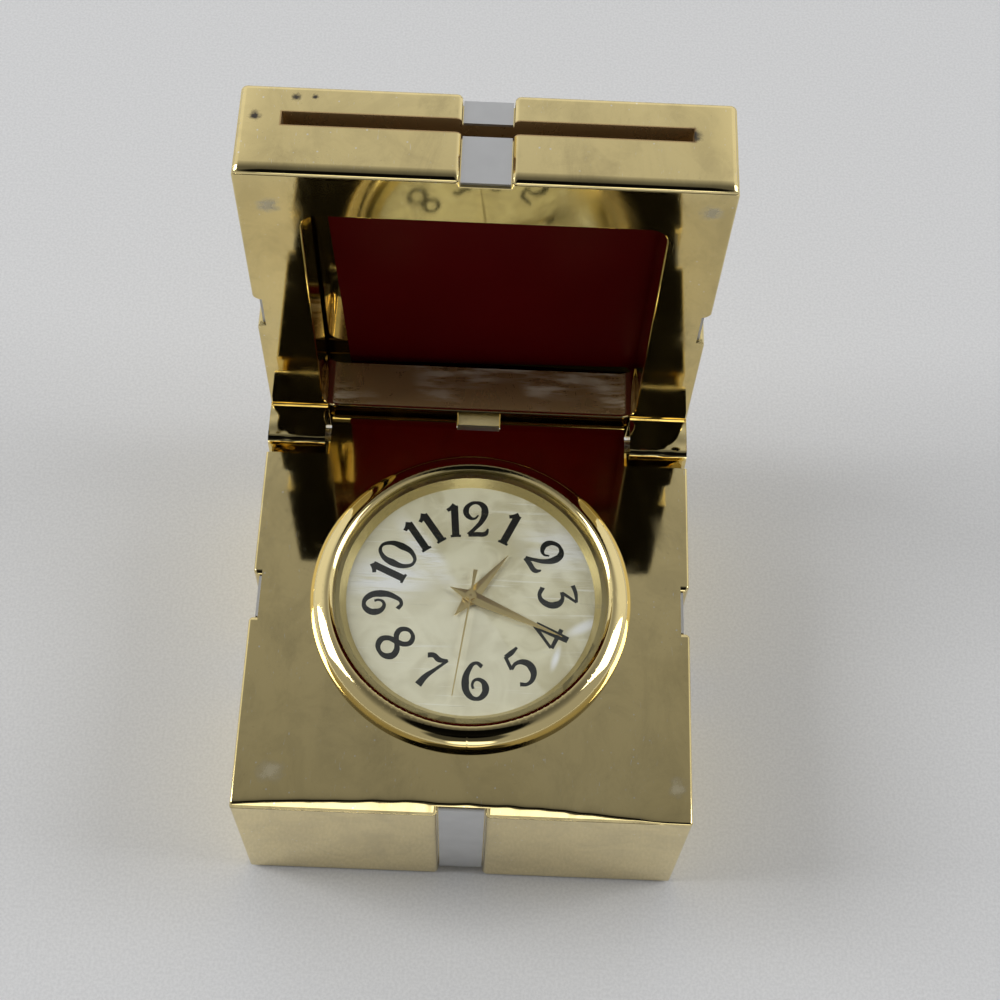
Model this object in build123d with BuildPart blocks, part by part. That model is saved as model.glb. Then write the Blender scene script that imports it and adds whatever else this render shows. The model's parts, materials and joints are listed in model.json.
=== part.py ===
"""A small gilt metal box clock in the shape of a ribboned gift box, modelled standing open.

The base holds a round push-in quartz clock. The lid turns on two pins in the rear corners,
stands at a right angle behind the base, and has a window over a pocket for a picture card,
which goes in through a slot in the lid's front wall.

Frame: millimetres, +Z up, front towards -Y, origin in the middle of the underside.
Each sub-part is written to parts/ under its own name.
"""

import os
from math import cos, radians, sin, tan

from build123d import *

# ---------------------------------------------------------------- box and hinge
box_width = 50.0
box_depth = 50.0
base_height = 23.4  # underside of the felt to the polished top
lid_depth = 11.2  # thickness of the lid
edge_round = 0.3
small_chamfer = 0.15  # on pins, the lens and the movement's small pieces
lid_edge_round = 0.7
rim_round = 0.25  # of the lid's inner face, its outer edge and the window's
groove_width = 5.2
groove_depth = 1.0
groove_edge_round = 0.6

hinge_inset = 2.5  # pin axis in from the rear face and down from the top
lid_gap = 0.1  # lid face to base top when shut, and to the base's rear when open
knuckle_inner_x = 18.2
barrel_half_length = 17.5
knuckle_clearance = 1.5  # from the knuckle's round to the notch it swings in
knuckle_edge_round = 1.0
pin_radius = 0.8
pin_running_gap = 0.05
pin_tip_x = 12.0
pin_end_inset = 0.6

# ---------------------------------------------------------------- base
base_wall = 2.3
top_plate = 2.4
felt_proud = 0.5
felt_thickness = 1.0
felt_gap = 0.3
bottom_plate_thickness = 1.0
bottom_plate_gap = 0.1
rebate_width = 1.4  # of the wall left outside the bottom plate
socket_radius = 17.0
socket_wall = 2.2
socket_depth = 9.0
rear_block_depth = 8.7  # solid metal behind the deep part of the hollow
rear_hollow_top = 9.0  # below the base's top, under the hinge notches

# ---------------------------------------------------------------- ribbon strips
ribbon_thickness = 0.35
ribbon_side_gap = 0.1
ribbon_end_gap = 0.4

# ---------------------------------------------------------------- lid window and picture
window_width = 37.4
window_front_margin = 6.8  # from the lid's front wall to the window
window_rear_margin = 5.0
window_corner = 2.0
window_frame = 6.1  # thickness of the frame in front of the card pocket
pocket_width = 41.2
pocket_thickness = 1.65
pocket_below_window = 1.6
card_width = 36.4
card_height = 41.0
card_thickness = 0.3
card_shift = 1.5
card_tilt = 2.0  # degrees, as it leans in its pocket
card_seat_gap = 0.15

# ---------------------------------------------------------------- clock insert
clock_y = 0.35
bezel_radius = 18.25
bezel_flange = 0.5
bezel_height = 2.5
bezel_crest_radius = 16.6
bezel_bore = 15.6
lens_radius = 15.5
lens_thickness = 0.7
lens_below_crest = 0.2
rehaut_outer_radius = 15.2
dial_sight_radius = 14.15
dial_radius = 15.0
dial_thickness = 0.4
dial_top = 0.5  # above the base's top
dial_bore = 0.85
cup_radius = 16.3
cup_wall = 0.9
cup_depth = 6.2
cup_rim = 1.45
cup_back_lip = 0.6
gasket_ribs = 3
gasket_top = 1.2  # below the base's top
gasket_length = 4.0
gasket_rib_height = 0.35

# ---------------------------------------------------------------- movement
movement_radius = 11.2
holder_gap = 0.05
holder_depth = 4.1
main_plate_top = 0.6  # depths below the base's top
main_plate_bottom = 1.4
bridge_top = 3.4
bridge_bottom = 4.1
module_wall = 0.6
pivot_radius = 0.2
pivot_gap = 0.04
pivot_sink = 0.35
wheel_thickness = 0.2
play = 0.05

second_arbor_radius = 0.17
cannon_bore = 0.22
cannon_radius = 0.42
cannon_plate_gap = 0.05
hour_tube_bore = 0.48
hour_tube_radius = 0.72

third_angle = 150.0
center_module = 0.1
fifth_module = 0.155
fifth_angle = -20.0
rotor_module = 0.09
rotor_angle = -80.0
motion_module = 0.13
motion_angle = -135.0

rotor_pinion_teeth = 8
fifth_wheel_teeth = 48
fifth_pinion_teeth = 8
second_wheel_teeth = 40
second_pinion_teeth = 8
third_wheel_teeth = 60
third_pinion_teeth = 8
center_wheel_teeth = 64
cannon_teeth = 10
minute_wheel_teeth = 30
tooth_root = 1.25  # depth of a tooth inside the pitch circle and outside it, in modules
tooth_tip = 0.75
root_share = 0.28  # half a tooth's width at its root and tip, as a share of the tooth spacing
tip_share = 0.08
minute_pinion_teeth = 8
hour_wheel_teeth = 32
cannon_length = 0.3
magnet_proud = 0.15
second_hub_radius = 0.4

center_layer = 1.9  # depth of each wheel's underside below the base's top
third_layer = 2.3
second_layer = 2.8
fifth_layer = 3.25
hour_layer = 0.22

# hands: heights are of their undersides above the base's top
hour_hand_height = 0.75
minute_hand_height = 1.08
second_hand_height = 1.4
hand_thickness = 0.18
hand_slope = 9.0  # degrees, of the two polished facets
hour_hand_length = 6.8
hour_hand_tail = 2.9
hour_hand_width = 1.7
minute_hand_length = 11.4
minute_hand_tail = 2.6
minute_hand_width = 1.5
second_hand_length = 12.3
second_hand_tail = 3.2
second_hand_width = 0.22
second_hand_tail_width = 0.5
second_hand_tail_start = 1.0  # behind the centre, where the tail widens
second_hand_thickness = 0.1
second_hand_hub = 0.5
hour_hand_angle = 37.0  # clockwise from twelve, in degrees
minute_hand_angle = 113.5
second_hand_angle = 187.5

battery_radius = 3.4
battery_thickness = 1.95
battery_distance = 6.9
battery_angle = 60.0
coil_length = 7.2
coil_radius = 0.9
coil_depth = 2.4  # of its axis below the base's top
coil_y = -7.1  # from the clock's centre
coil_flange = 0.35
core_thickness = 0.3
core_width = 1.1
stator_gap = 0.25
stator_web = 0.75
stator_bar_width = 1.3
magnet_radius = 0.9
crystal_radius = 0.75
crystal_length = 5.0
crown_radius = 1.4
crown_length = 2.2
crown_ribs = 14
crown_flute = 0.15
stem_radius = 0.4
stem_start = 6.3
stem_depth = 2.4
crown_x = 12.0
crown_bay_gap = 0.8  # on each side of the crown

# ---------------------------------------------------------------- worked out from the above
base_top = base_height
base_underside = felt_proud
rear_y = box_depth / 2
hinge_y = rear_y - hinge_inset
hinge_z = base_top - hinge_inset
lid_face_y = hinge_y + hinge_inset + lid_gap
lid_back_y = lid_face_y + lid_depth
lid_low_z = hinge_z - hinge_inset
lid_high_z = lid_low_z + box_depth
lid_mid_z = (lid_low_z + lid_high_z) / 2
knuckle_reach = hinge_inset + knuckle_clearance
window_top_z = lid_high_z - window_front_margin
window_low_z = lid_low_z + window_rear_margin
pocket_front_y = lid_face_y + window_frame
pocket_back_y = pocket_front_y + pocket_thickness
pocket_low_z = window_low_z - pocket_below_window
plate_seat = felt_thickness + bottom_plate_thickness
hinge_axis = Plane(origin=(0, hinge_y, hinge_z), x_dir=(0, 1, 0), z_dir=(1, 0, 0))
clock_axis = Plane((0, clock_y, base_top))
centre = (0.0, clock_y)


def polar(angle, distance, start=centre):
    """The point at an angle from +X and a distance from another point, both in plan."""
    return (start[0] + distance * cos(radians(angle)), start[1] + distance * sin(radians(angle)))


def gear_distance(module, teeth, other_teeth):
    """Distance between the axes of two wheels in mesh."""
    return module * (teeth + other_teeth) / 2


third_module = (
    center_module
    * (center_wheel_teeth + third_pinion_teeth)
    / (third_wheel_teeth + second_pinion_teeth)
)
third_at = polar(third_angle, gear_distance(center_module, center_wheel_teeth, third_pinion_teeth))
fifth_at = polar(fifth_angle, gear_distance(fifth_module, second_wheel_teeth, fifth_pinion_teeth))
rotor_at = polar(
    rotor_angle, gear_distance(rotor_module, fifth_wheel_teeth, rotor_pinion_teeth), fifth_at
)
motion_at = polar(motion_angle, gear_distance(motion_module, cannon_teeth, minute_wheel_teeth))
battery_at = polar(battery_angle, battery_distance)

os.makedirs("parts", exist_ok=True)


def keep(part, name):
    """Labels a finished piece and writes it to its own file."""
    part.label = name
    export_step(part, f"parts/{name}.step")


def deep(depth):
    """The horizontal plane at a depth below the base's top."""
    return Plane.XY.offset(base_top - depth)


def disc(depth, radius, thickness, at=centre, bore=0.0, mode=Mode.ADD):
    """A round plate or sleeve, whose underside lies at a depth below the base's top."""
    with BuildSketch(deep(depth)) as outline:
        with Locations(at):
            Circle(radius)
            if bore:
                Circle(bore, mode=Mode.SUBTRACT)
    return extrude(outline.sketch, amount=thickness, mode=mode)


def gear(teeth, module, depth, thickness, at, tooth_angle, bore=0.0):
    """A toothed wheel with one tooth centred on tooth_angle, with slim teeth so that it runs freely."""
    pitch_radius = module * teeth / 2
    root_radius = pitch_radius - tooth_root * module
    tip_radius = pitch_radius + tooth_tip * module
    tooth = (
        (root_radius, -root_share),
        (tip_radius, -tip_share),
        (tip_radius, tip_share),
        (root_radius, root_share),
    )
    corners = [
        polar(tooth_angle + (number + share) * 360 / teeth, radius, (0, 0))
        for number in range(teeth)
        for radius, share in tooth
    ]
    with BuildSketch(deep(depth)) as outline:
        with Locations(at):
            Polygon(*corners, align=None)
            if bore:
                Circle(bore, mode=Mode.SUBTRACT)
    return extrude(outline.sketch, amount=thickness)


def mesh_angle(angle, teeth):
    """Where a driven wheel has a tooth when its driver, seen from the driver's axis at an angle, has one there."""
    return angle + 180 + 180 / teeth


def ribbon_groove(width, height, wall):
    """Cuts one ribbon groove into a flat wall, from its outside plane inwards."""
    with BuildSketch(wall) as mouth:
        Rectangle(width, height)
    return extrude(mouth.sketch, amount=-groove_depth, mode=Mode.SUBTRACT)


# ================================================================ base
base_body_height = base_top - base_underside
base_wall_mid_z = (base_top + base_underside) / 2
front_plane = Plane(origin=(0, -box_depth / 2, base_wall_mid_z), x_dir=(1, 0, 0), z_dir=(0, -1, 0))
left_plane = Plane(origin=(-box_width / 2, 0, base_wall_mid_z), x_dir=(0, -1, 0), z_dir=(-1, 0, 0))
right_plane = Plane(origin=(box_width / 2, 0, base_wall_mid_z), x_dir=(0, 1, 0), z_dir=(1, 0, 0))
cut_past = 1.0  # how far a cut runs past the metal

with BuildPart() as base_casting:
    with BuildSketch(Plane.XY.offset(base_underside)):
        Rectangle(box_width, box_depth)
    extrude(amount=base_body_height)
    # the rear top edge is the hinge barrel
    fillet(base_casting.edges().filter_by(Axis.X).group_by(Axis.Z)[-1].sort_by(Axis.Y)[-1], hinge_inset)
    barrel_sides = base_casting.faces().filter_by(GeomType.CYLINDER).edges().filter_by(Axis.X)
    foot = base_casting.edges().group_by(Axis.Z)[0]
    fillet(base_casting.edges() - barrel_sides - foot, edge_round)
    # ribbon grooves down the four walls, the rear one following the barrel
    for wall in (front_plane, left_plane, right_plane):
        ribbon_groove(groove_width, base_body_height, wall)
    with BuildSketch(Plane.YZ.offset(-groove_width / 2)):
        with Locations((hinge_y, base_underside)):
            Rectangle(hinge_inset + cut_past, base_body_height + cut_past, align=(Align.MIN, Align.MIN))
            Rectangle(
                hinge_inset - groove_depth,
                hinge_z - base_underside,
                align=(Align.MIN, Align.MIN),
                mode=Mode.SUBTRACT,
            )
        with Locations((hinge_y, hinge_z)):
            Circle(hinge_inset - groove_depth, mode=Mode.SUBTRACT)
    extrude(amount=groove_width, mode=Mode.SUBTRACT)
    groove_mouths = (
        base_casting.edges()
        .filter_by(Axis.Z)
        .filter_by(lambda e: abs(e.center().Y) > box_depth / 2 - 0.01 or abs(e.center().X) > box_width / 2 - 0.01)
        .filter_by(lambda e: min(abs(e.center().X), abs(e.center().Y)) < groove_width / 2 + 0.01)
        .filter_by(lambda e: e.center().Y < rear_y - 0.01)
    )
    fillet(groove_mouths, groove_edge_round)
    # hollow underside, deep in front and shallow under the hinge
    with BuildSketch(Plane.XY.offset(base_underside)):
        Rectangle(box_width - 2 * rebate_width, box_depth - 2 * rebate_width)
    extrude(amount=plate_seat - base_underside, mode=Mode.SUBTRACT)
    with BuildSketch(Plane.XY.offset(plate_seat)):
        Rectangle(box_width - 2 * base_wall, box_depth - 2 * base_wall)
    extrude(amount=base_top - rear_hollow_top - plate_seat, mode=Mode.SUBTRACT)
    hollow_front_y = -(box_depth / 2 - base_wall)
    hollow_rear_y = rear_y - rear_block_depth
    with BuildSketch(Plane.XY.offset(plate_seat)):
        with Locations((0, hollow_front_y)):
            Rectangle(box_width - 2 * base_wall, hollow_rear_y - hollow_front_y, align=(Align.CENTER, Align.MIN))
    extrude(amount=base_top - top_plate - plate_seat, mode=Mode.SUBTRACT)
    # socket for the clock insert
    disc(socket_depth, socket_radius + socket_wall, socket_depth - top_plate / 2)
    disc(socket_depth + cut_past, socket_radius, socket_depth + 2 * cut_past, mode=Mode.SUBTRACT)
    # rear corner notches, where the lid's knuckles turn
    for side in (-1, 1):
        with BuildSketch(Plane.YZ.offset(side * barrel_half_length)):
            with Locations((hinge_y - knuckle_reach, hinge_z - knuckle_reach)):
                Rectangle(
                    knuckle_reach + hinge_inset + cut_past,
                    knuckle_reach + hinge_inset + cut_past,
                    align=(Align.MIN, Align.MIN),
                )
        extrude(amount=side * (box_width / 2 - barrel_half_length + cut_past), mode=Mode.SUBTRACT)
    # bores for the hinge pins
    for side in (-1, 1):
        with BuildSketch(hinge_axis.offset(side * pin_tip_x)):
            Circle(pin_radius)
        extrude(amount=side * (barrel_half_length - pin_tip_x + cut_past), mode=Mode.SUBTRACT)
keep(base_casting.part, "base_casting")

with BuildPart() as bottom_plate:
    with BuildSketch(Plane.XY.offset(felt_thickness)):
        RectangleRounded(
            box_width - 2 * rebate_width - 2 * bottom_plate_gap,
            box_depth - 2 * rebate_width - 2 * bottom_plate_gap,
            edge_round,
        )
    extrude(amount=bottom_plate_thickness)
keep(bottom_plate.part, "bottom_plate")

with BuildPart() as felt_pad:
    with BuildSketch():
        RectangleRounded(
            box_width - 2 * rebate_width - 2 * felt_gap,
            box_depth - 2 * rebate_width - 2 * felt_gap,
            2 * edge_round,
        )
    extrude(amount=felt_thickness)
    chamfer(felt_pad.faces().sort_by(Axis.Z)[0].edges(), edge_round)
keep(felt_pad.part, "felt_pad")

# ---- ribbon strips of the base
ribbon_width = groove_width - 2 * ribbon_side_gap
base_ribbon_low = base_underside + ribbon_end_gap
base_ribbon_length = base_top - ribbon_end_gap - base_ribbon_low
for wall, name in ((front_plane, "front"), (left_plane, "left"), (right_plane, "right")):
    with BuildPart() as base_ribbon:
        with BuildSketch(wall.offset(-groove_depth)):
            Rectangle(ribbon_width, base_ribbon_length)
        extrude(amount=ribbon_thickness)
    keep(base_ribbon.part, f"base_ribbon_{name}")

with BuildPart() as base_ribbon_rear:
    with BuildSketch(Plane.YZ.offset(-ribbon_width / 2)):
        with BuildLine():
            inner_radius = hinge_inset - groove_depth
            outer_radius = inner_radius + ribbon_thickness
            low = base_ribbon_low
            inner_foot = (hinge_y + inner_radius, low)
            outer_foot = (hinge_y + outer_radius, low)
            inner_bend = (hinge_y + inner_radius, hinge_z)
            outer_bend = (hinge_y + outer_radius, hinge_z)
            inner_end = (hinge_y, hinge_z + inner_radius)
            outer_end = (hinge_y, hinge_z + outer_radius)
            Line(inner_foot, outer_foot)
            Line(outer_foot, outer_bend)
            RadiusArc(outer_bend, outer_end, -outer_radius)
            Line(outer_end, inner_end)
            RadiusArc(inner_end, inner_bend, inner_radius)
            Line(inner_bend, inner_foot)
        make_face()
    extrude(amount=ribbon_width)
keep(base_ribbon_rear.part, "base_ribbon_rear")

# ================================================================ lid, standing open
lid_top_plane = Plane(origin=(0, (lid_face_y + lid_back_y) / 2, lid_high_z))
lid_low_plane = Plane(origin=(0, (lid_face_y + lid_back_y) / 2, lid_low_z), x_dir=(1, 0, 0), z_dir=(0, 0, -1))
lid_back_plane = Plane(origin=(0, lid_back_y, lid_mid_z), x_dir=(-1, 0, 0), z_dir=(0, 1, 0))
lid_mid_y = (lid_face_y + lid_back_y) / 2
lid_left_plane = Plane(origin=(-box_width / 2, lid_mid_y, lid_mid_z), x_dir=(0, -1, 0), z_dir=(-1, 0, 0))
lid_right_plane = Plane(origin=(box_width / 2, lid_mid_y, lid_mid_z), x_dir=(0, 1, 0), z_dir=(1, 0, 0))

with BuildPart() as lid_casting:
    with BuildSketch(Plane.XZ.offset(-lid_face_y)):
        with Locations((0, lid_mid_z)):
            Rectangle(box_width, box_depth)
    extrude(amount=-lid_depth)
    fillet(lid_casting.edges().filter_by(lambda e: e.center().Y > lid_face_y + 0.01), lid_edge_round)
    fillet(lid_casting.faces().sort_by(Axis.Y)[0].edges(), rim_round)
    # ribbon grooves: four walls, then a cross on the back
    for wall, width, height in (
        (lid_top_plane, groove_width, lid_depth),
        (lid_low_plane, groove_width, lid_depth),
        (lid_left_plane, lid_depth, groove_width),
        (lid_right_plane, lid_depth, groove_width),
        (lid_back_plane, groove_width, box_depth),
        (lid_back_plane, box_width, groove_width),
    ):
        ribbon_groove(width, height, wall)
    # knuckles at the rear corners, around the pins
    for side in (-1, 1):
        with BuildSketch(hinge_axis.offset(side * knuckle_inner_x)) as knuckle:
            with Locations((-hinge_inset, 0)):
                Rectangle(
                    lid_face_y - hinge_y + hinge_inset + rim_round,
                    2 * hinge_inset,
                    align=(Align.MIN, Align.CENTER),
                )
            front = knuckle.vertices().group_by(Axis.X)[0]
            fillet(front.sort_by(Axis.Y)[-1], knuckle_edge_round)
            fillet(knuckle.vertices().group_by(Axis.X)[0].sort_by(Axis.Y)[0], hinge_inset - lid_gap)
        extrude(amount=side * (box_width / 2 - knuckle_inner_x))
    # window, card pocket and its slot through the front wall
    with BuildSketch(Plane.XZ.offset(-lid_face_y)):
        with Locations((0, (window_top_z + window_low_z) / 2)):
            RectangleRounded(window_width, window_top_z - window_low_z, window_corner)
    extrude(amount=-(window_frame + pocket_thickness), mode=Mode.SUBTRACT)
    with BuildSketch(Plane.XZ.offset(-pocket_front_y)):
        with Locations((0, pocket_low_z)):
            Rectangle(pocket_width, lid_high_z - pocket_low_z + cut_past, align=(Align.CENTER, Align.MIN))
    extrude(amount=-pocket_thickness, mode=Mode.SUBTRACT)
    # the pins' running bores, blind so that they don't show outside
    for side in (-1, 1):
        with BuildSketch(hinge_axis.offset(side * (knuckle_inner_x - cut_past))):
            Circle(pin_radius + pin_running_gap)
        extrude(
            amount=side * (box_width / 2 - pin_end_inset - knuckle_inner_x + cut_past), mode=Mode.SUBTRACT
        )
keep(lid_casting.part, "lid_casting")

for side, name in ((-1, "left"), (1, "right")):
    with BuildPart() as hinge_pin:
        with BuildSketch(hinge_axis.offset(side * pin_tip_x)):
            Circle(pin_radius)
        extrude(amount=side * (box_width / 2 - pin_end_inset - pin_running_gap - pin_tip_x))
        chamfer(hinge_pin.faces().sort_by(Axis.X)[0].edges(), small_chamfer)
        chamfer(hinge_pin.faces().sort_by(Axis.X)[-1].edges(), small_chamfer)
    keep(hinge_pin.part, f"hinge_pin_{name}")

# ---- ribbon strips of the lid: one across, two up the middle that meet it, and a short one past the slot
back_floor_y = lid_back_y - groove_depth
back_ribbon_y = back_floor_y + ribbon_thickness
rim_end_y = lid_face_y + ribbon_end_gap
with BuildPart() as lid_ribbon_across:
    with BuildSketch(Plane.XY.offset(lid_mid_z - ribbon_width / 2)):
        half_span = box_width / 2 - groove_depth
        with Locations((0, back_ribbon_y)):
            Rectangle(
                2 * (half_span + ribbon_thickness), back_ribbon_y - rim_end_y, align=(Align.CENTER, Align.MAX)
            )
        with Locations((0, back_floor_y)):
            Rectangle(2 * half_span, lid_depth, align=(Align.CENTER, Align.MAX), mode=Mode.SUBTRACT)
    extrude(amount=ribbon_width)
keep(lid_ribbon_across.part, "lid_ribbon_across")

for side, wall_z, end_y, name in (
    (1, lid_high_z, pocket_back_y, "lid_ribbon_front"),
    (-1, lid_low_z, rim_end_y, "lid_ribbon_rear"),
):
    with BuildPart() as lid_ribbon:
        with BuildSketch(Plane.YZ.offset(-ribbon_width / 2)):
            meeting_z = lid_mid_z + side * ribbon_width / 2
            floor_z = wall_z - side * groove_depth
            outer_z = floor_z + side * ribbon_thickness
            Polygon(
                (back_floor_y, meeting_z),
                (back_floor_y, floor_z),
                (end_y, floor_z),
                (end_y, outer_z),
                (back_ribbon_y, outer_z),
                (back_ribbon_y, meeting_z),
                align=None,
            )
        extrude(amount=ribbon_width)
    keep(lid_ribbon.part, name)

with BuildPart() as lid_ribbon_slot_end:
    with BuildSketch(Plane.XY.offset(lid_high_z - groove_depth)):
        with Locations((0, rim_end_y)):
            Rectangle(ribbon_width, pocket_front_y - rim_end_y, align=(Align.CENTER, Align.MIN))
    extrude(amount=ribbon_thickness)
keep(lid_ribbon_slot_end.part, "lid_ribbon_slot_end")

# ---- the picture card, standing in its pocket against the back
with BuildPart() as picture_card:
    card_lean = card_width / 2 * sin(radians(card_tilt))
    card_centre_z = pocket_low_z + card_seat_gap + card_lean + card_height / 2 * cos(radians(card_tilt))
    with BuildSketch(Plane.XZ.offset(-(pocket_back_y - card_seat_gap))):
        with Locations(Location((card_shift, card_centre_z, 0), (0, 0, card_tilt))):
            Rectangle(card_width, card_height)
    extrude(amount=card_thickness)
keep(picture_card.part, "picture_card")

# ================================================================ clock insert: case
with BuildPart() as bezel:
    with BuildSketch(Plane.XZ.offset(-clock_y)):
        with BuildLine():
            Line((cup_radius, base_top), (bezel_radius, base_top))
            Line((bezel_radius, base_top), (bezel_radius, base_top + bezel_flange))
            flank_arc = SagittaArc(
                (bezel_radius, base_top + bezel_flange),
                (bezel_crest_radius, base_top + bezel_height),
                -0.42,
            )
            crest_in = (bezel_bore + 0.25, base_top + bezel_height - 0.05)
            RadiusArc((bezel_crest_radius, base_top + bezel_height), crest_in, -0.9)
            Line(crest_in, (bezel_bore, base_top + bezel_height - 0.3))
            Line((bezel_bore, base_top + bezel_height - 0.3), (bezel_bore, base_top + cup_rim))
            Line((bezel_bore, base_top + cup_rim), (cup_radius, base_top + cup_rim))
            Line((cup_radius, base_top + cup_rim), (cup_radius, base_top))
        make_face()
    revolve(axis=Axis((0, clock_y, 0), (0, 0, 1)))
keep(bezel.part, "bezel")

lens_low = bezel_height - lens_below_crest - lens_thickness
with BuildPart() as lens:
    disc(-lens_low, lens_radius, lens_thickness)
    chamfer(lens.faces().sort_by(Axis.Z)[-1].edges(), small_chamfer)
keep(lens.part, "lens")

with BuildPart() as dial_ring:
    with BuildSketch(Plane.XZ.offset(-clock_y)):
        with BuildLine():
            Polyline(
                (dial_sight_radius, base_top + dial_top),
                (rehaut_outer_radius, base_top + dial_top),
                (rehaut_outer_radius, base_top + lens_low),
                (rehaut_outer_radius - 0.35, base_top + lens_low),
                close=True,
            )
        make_face()
    revolve(axis=Axis((0, clock_y, 0), (0, 0, 1)))
keep(dial_ring.part, "dial_ring")

with BuildPart() as dial:
    disc(dial_thickness - dial_top, dial_radius, dial_thickness, bore=dial_bore)
keep(dial.part, "dial")

with BuildPart() as case_cup:
    disc(cup_depth, cup_radius, cup_depth + cup_rim, bore=cup_radius - cup_wall)
    chamfer(case_cup.faces().sort_by(Axis.Z)[0].edges().sort_by(SortBy.LENGTH)[-1], 0.3)
keep(case_cup.part, "case_cup")

cup_bore = cup_radius - cup_wall
crown_window = (crown_x - 0.6, cup_bore - 0.5)
with BuildPart() as case_back:
    disc(cup_depth, cup_bore - holder_gap, cup_back_lip)
    disc(cup_depth - cup_back_lip, cup_bore - holder_gap, cup_depth - cup_back_lip - holder_depth, bore=cup_bore - 1.0)
    with BuildSketch(deep(cup_depth + cut_past)):
        with Locations((crown_window[0], clock_y)):
            Rectangle(
                crown_window[1] - crown_window[0], 2 * (crown_radius + crown_bay_gap), align=(Align.MIN, Align.CENTER)
            )
    extrude(amount=cup_depth - cup_back_lip - holder_depth + cup_back_lip + cut_past, mode=Mode.SUBTRACT)
keep(case_back.part, "case_back")

with BuildPart() as gasket:
    with BuildSketch(Plane.XZ.offset(-clock_y)):
        # pointed ribs that fold over as the insert is pushed in
        rib_pitch = gasket_length / gasket_ribs
        gasket_high = base_top - gasket_top
        ribs = [
            (radius, gasket_high - (rib + share) * rib_pitch)
            for rib in range(gasket_ribs)
            for radius, share in ((socket_radius - gasket_rib_height, 0), (socket_radius, 0.5))
        ]
        Polygon(
            (cup_radius, gasket_high),
            *ribs,
            (socket_radius - gasket_rib_height, gasket_high - gasket_length),
            (cup_radius, gasket_high - gasket_length),
            align=None,
        )
    revolve(axis=Axis((0, clock_y, 0), (0, 0, 1)))
keep(gasket.part, "gasket")

# ================================================================ clock insert: movement module
with BuildPart() as movement_holder:
    disc(holder_depth, cup_bore - holder_gap, holder_depth + dial_top - dial_thickness, bore=movement_radius + holder_gap)
    # bay for the crown
    with BuildSketch(deep(holder_depth + cut_past)):
        with Locations((movement_radius - 0.5, clock_y)):
            Rectangle(cup_bore, 2 * (crown_radius + crown_bay_gap), align=(Align.MIN, Align.CENTER))
    extrude(amount=holder_depth - main_plate_top + cut_past, mode=Mode.SUBTRACT)
keep(movement_holder.part, "movement_holder")

arbors = (third_at, fifth_at, rotor_at)
plate_thickness = main_plate_bottom - main_plate_top
with BuildPart() as main_plate:
    disc(main_plate_bottom, movement_radius, plate_thickness)
    disc(bridge_top, movement_radius, bridge_top - main_plate_bottom, bore=movement_radius - module_wall)
    disc(bridge_top + cut_past, cannon_radius + cannon_plate_gap, bridge_top + cut_past, mode=Mode.SUBTRACT)
    for arbor in arbors:
        disc(main_plate_bottom, pivot_radius + pivot_gap, pivot_sink + pivot_gap, arbor, mode=Mode.SUBTRACT)
    # stud for the minute wheel
    disc(main_plate_top, pivot_radius, main_plate_top - 0.05, motion_at)
    # the stem's way out through the wall
    with BuildSketch(Plane.YZ.offset(movement_radius - module_wall - cut_past)):
        with Locations((clock_y, base_top - stem_depth)):
            Circle(stem_radius + 2 * pivot_gap)
    extrude(amount=module_wall + 2 * cut_past, mode=Mode.SUBTRACT)
keep(main_plate.part, "main_plate")

with BuildPart() as train_bridge:
    disc(bridge_bottom, movement_radius, bridge_bottom - bridge_top)
    for arbor in (*arbors, centre):
        disc(bridge_top + pivot_sink + pivot_gap, pivot_radius + pivot_gap, pivot_sink + cut_past, arbor, mode=Mode.SUBTRACT)
    disc(bridge_bottom + cut_past, battery_radius + 0.1, 3 * cut_past, battery_at, mode=Mode.SUBTRACT)
keep(train_bridge.part, "train_bridge")

battery_low = bridge_bottom - 0.1
with BuildPart() as battery:
    disc(battery_low, battery_radius, battery_thickness * 0.8, battery_at)
    disc(battery_low - battery_thickness * 0.8, battery_radius * 0.82, battery_thickness * 0.2, battery_at)
    chamfer(battery.faces().sort_by(Axis.Z)[0].edges(), small_chamfer)
keep(battery.part, "battery")

with BuildPart() as battery_clip:
    with BuildSketch(deep(bridge_bottom + 0.25)):
        with Locations(Location((*battery_at, 0), (0, 0, battery_angle + 90))):
            SlotCenterToCenter(2 * battery_radius + 1.6, 1.6)
    extrude(amount=0.25)
keep(battery_clip.part, "battery_clip")

leg_x = coil_length / 2 + core_width / 2 + 0.2
core_low = coil_depth + core_thickness / 2
stator_low = core_low - core_thickness
coil_at = (clock_y + coil_y, base_top - coil_depth)
with BuildPart() as coil:
    with BuildSketch(Plane.YZ.offset(-coil_length / 2)):
        with Locations(coil_at):
            Circle(coil_radius)
    extrude(amount=coil_length)
    for end in (-1, 1):
        with BuildSketch(Plane.YZ.offset(end * coil_length / 2)):
            with Locations(coil_at):
                Rectangle(2 * coil_radius + 0.3, 2 * coil_radius)
        extrude(amount=-end * coil_flange)
    with BuildSketch(Plane.YZ.offset(-coil_length / 2 - cut_past)):
        with Locations(coil_at):
            Rectangle(core_width + 2 * play, core_thickness + 2 * play)
    extrude(amount=coil_length + 2 * cut_past, mode=Mode.SUBTRACT)
keep(coil.part, "coil")

with BuildPart() as coil_core:
    with BuildSketch(deep(core_low)):
        with Locations((0, clock_y + coil_y)):
            Rectangle(2 * leg_x + core_width, core_width)
    extrude(amount=core_thickness)
keep(coil_core.part, "coil_core")

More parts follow.
